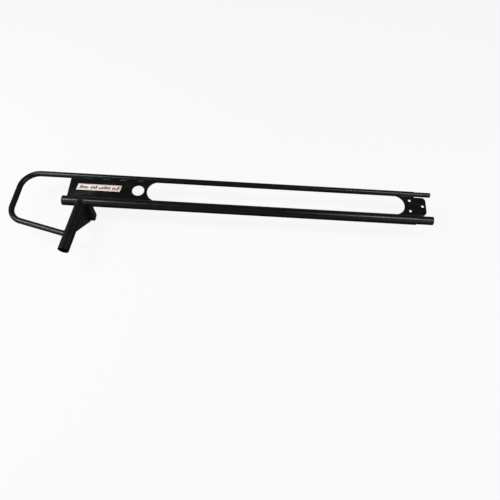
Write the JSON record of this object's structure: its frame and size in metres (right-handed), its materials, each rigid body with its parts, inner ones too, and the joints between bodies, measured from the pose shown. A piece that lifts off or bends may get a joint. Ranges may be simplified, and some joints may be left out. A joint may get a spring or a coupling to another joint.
{
  "type": "truck rack side rail",
  "caption": "Welded side rail for a truck cargo rack: parallel tubes joined by plates, a closed hoop, a raked leg socket, a cross-member socket and reduced splice ends.",
  "frame": {"origin": "middle of the bounding box's footprint, on the plane of the cross-member socket's open end, the lowest point", "axes": "+X along the rails from the hoop to the splice end, +Y from the main tube to the upper tube (up when the rack is on the truck), +Z out of the labelled face (away from the truck)"},
  "size_m": [1.9018, 0.4052, 0.1637],
  "materials": {
    "powder_coat": "semi-gloss black powder coat",
    "coated_weld": "rippled weld bead under black powder coat",
    "cap_plastic": "moulded black plastic",
    "label_face": "printed off-white label"
  },
  "bodies": {
    "root": {"main_rail_tube": "powder_coat", "upper_rail_tube": "powder_coat", "label_web_plate": "powder_coat", "splice_plate": "powder_coat", "leg_socket_tube": "powder_coat", "cross_member_socket": "powder_coat", "hoop_side_gusset": "powder_coat", "splice_side_gusset": "powder_coat", "main_splice_sleeve": "powder_coat", "upper_splice_sleeve": "powder_coat", "main_rail_end_cap": "cap_plastic", "label": "label_face", "web_upper_welds": "coated_weld", "web_lower_welds": "coated_weld", "splice_upper_welds": "coated_weld", "splice_lower_welds": "coated_weld", "leg_saddle_weld": "coated_weld", "cross_socket_weld": "coated_weld", "hoop_end_weld": "coated_weld", "hoop_side_leg_weld": "coated_weld", "splice_side_leg_weld": "coated_weld", "hoop_side_socket_weld": "coated_weld", "splice_side_socket_weld": "coated_weld"}
  },
  "joints": []
}
